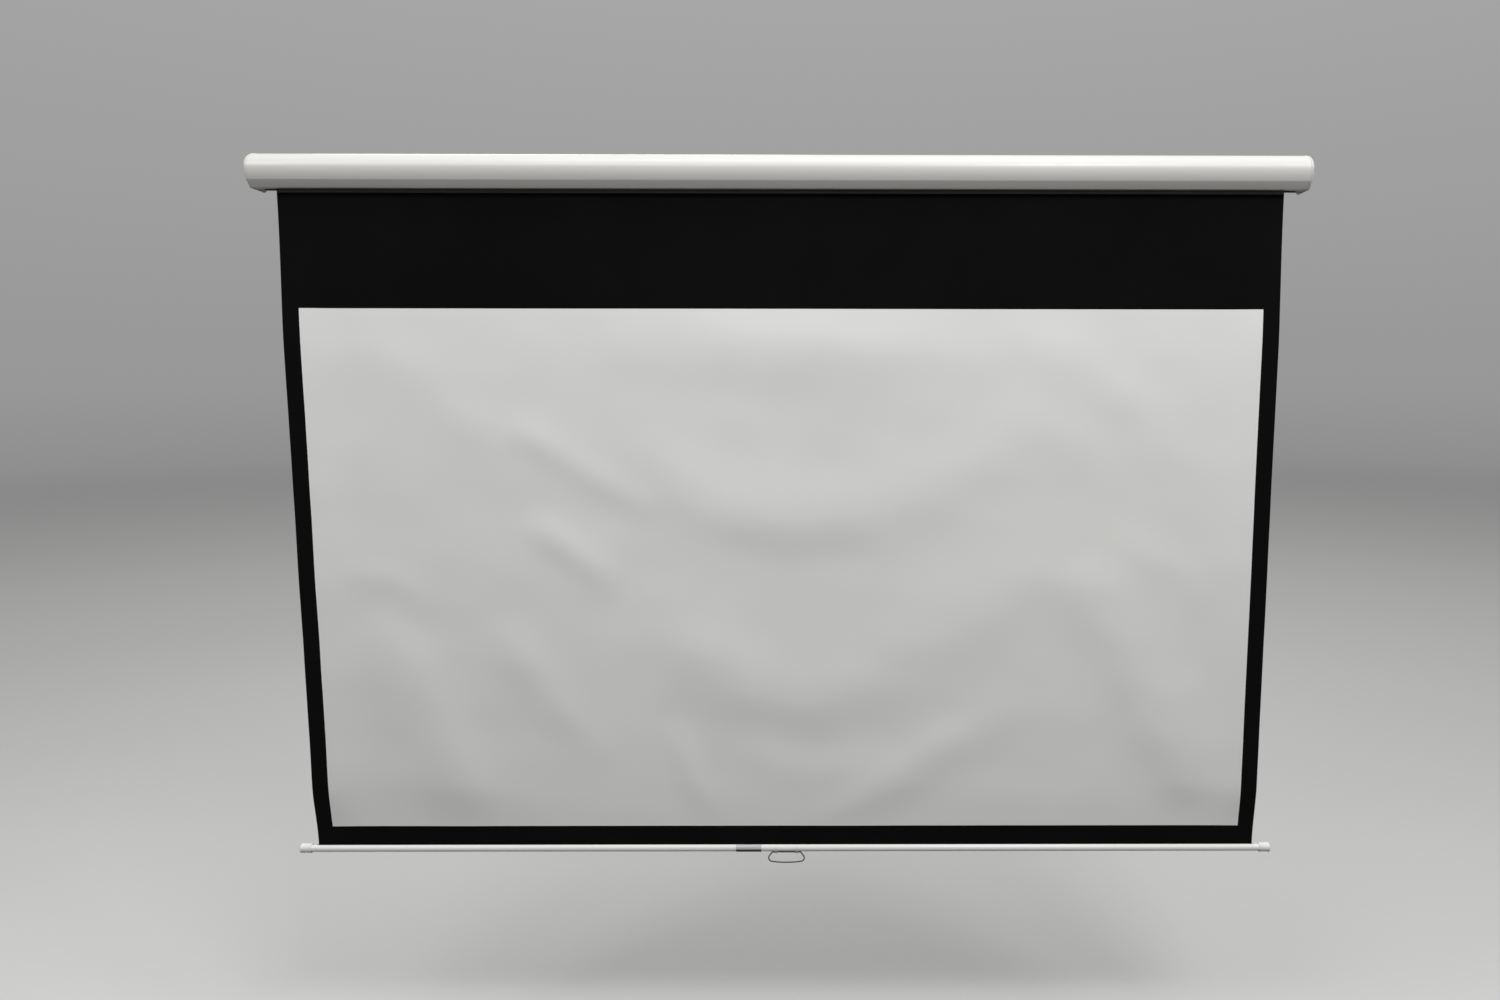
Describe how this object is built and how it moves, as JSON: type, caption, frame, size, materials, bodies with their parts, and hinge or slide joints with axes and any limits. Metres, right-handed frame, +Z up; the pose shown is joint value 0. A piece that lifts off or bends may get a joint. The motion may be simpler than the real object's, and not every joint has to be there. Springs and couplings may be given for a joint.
{
  "type": "pull down projector screen",
  "caption": "Wall-hung pull-down projection screen: white casing with spring roller, white surface in a black mask, round slat and wire pull handle.",
  "frame": {"origin": "on the casing's flat back, which is the wall plane, at the middle of the screen's length and about mid-height of the casing", "axes": "+X to the right along the casing seen from the front, +Y back into the wall, +Z up; the fabric hangs down -Z"},
  "size_m": [2.39, 0.093, 1.6879],
  "materials": {
    "casing_white": "satin white powder coat",
    "cap_white": "moulded white plastic, fine texture",
    "zinc": "zinc-plated",
    "alloy": "mill extruded",
    "natural_nylon": "turned nylon",
    "black_nylon": "moulded",
    "bright_steel": "drawn bright",
    "spring_steel": "oiled",
    "roller_steel": "galvanised",
    "spline_plastic": "extruded",
    "rolled_fabric": "matt black coating",
    "screen_fabric": "matt white coating with a black mask",
    "slat_white": "white powder coat",
    "plate_grey": "satin, blank",
    "bail_wire": "dark plated wire"
  },
  "bodies": {
    "casing": {"casing_shell": "casing_white", "end_cap_left": "cap_white", "end_cap_right": "cap_white", "end_cap_screw_left_upper": "zinc", "end_cap_screw_left_lower": "zinc", "end_cap_screw_right_upper": "zinc", "end_cap_screw_right_lower": "zinc", "roller_bracket_left": "zinc", "roller_bracket_right": "zinc", "wall_bracket_left": "alloy", "wall_bracket_right": "alloy", "idle_bush": "natural_nylon", "spring_spindle": "bright_steel", "torsion_spring": "spring_steel", "spring_collar": "zinc", "ratchet_disc": "zinc", "screen_fabric": "screen_fabric"},
    "roller": {"roller_tube": "roller_steel", "roller_spline": "spline_plastic", "fabric_roll": "rolled_fabric", "roller_plug_left": "black_nylon", "roller_plug_right": "black_nylon", "idle_pin": "bright_steel", "spring_anchor": "black_nylon", "pawl_pin_a": "bright_steel", "pawl_pin_b": "bright_steel"},
    "pawl_a": {"pawl_a": "zinc"},
    "pawl_b": {"pawl_b": "zinc"},
    "slat": {"slat_tube": "slat_white", "hem_rod": "roller_steel", "slat_cap_left": "cap_white", "slat_cap_right": "cap_white", "handle_clip_left": "cap_white", "handle_clip_right": "cap_white", "slat_nameplate": "plate_grey"},
    "handle": {"handle_bail": "bail_wire"}
  },
  "joints": [
    {"name": "slat_slide", "type": "slide", "parent": "casing", "child": "slat", "axis": [0, 0, 1], "range_m": [0, 1.552], "deforming": ["screen_fabric"]},
    {"name": "roller_spin", "type": "hinge", "parent": "casing", "child": "roller", "pos_m": [0, -0.0353, 0.001], "axis": [-1, 0, 0], "range_deg": [0, 3870]},
    {"name": "handle_swing", "type": "hinge", "parent": "slat", "child": "handle", "pos_m": [0, -0.0565, -1.6182], "axis": [1, 0, 0], "range_deg": [-88, 88]},
    {"name": "pawl_a_swing", "type": "hinge", "parent": "roller", "child": "pawl_a", "pos_m": [-1.1601, -0.0353, 0.014], "axis": [1, 0, 0], "range_deg": [0, 32]},
    {"name": "pawl_b_swing", "type": "hinge", "parent": "roller", "child": "pawl_b", "pos_m": [-1.1601, -0.0353, -0.012], "axis": [1, 0, 0], "range_deg": [-32, 0]}
  ],
  "couplings": [
    {"joint": "roller_spin", "follows": "slat_slide", "rad_per_m": 43.5}
  ]
}
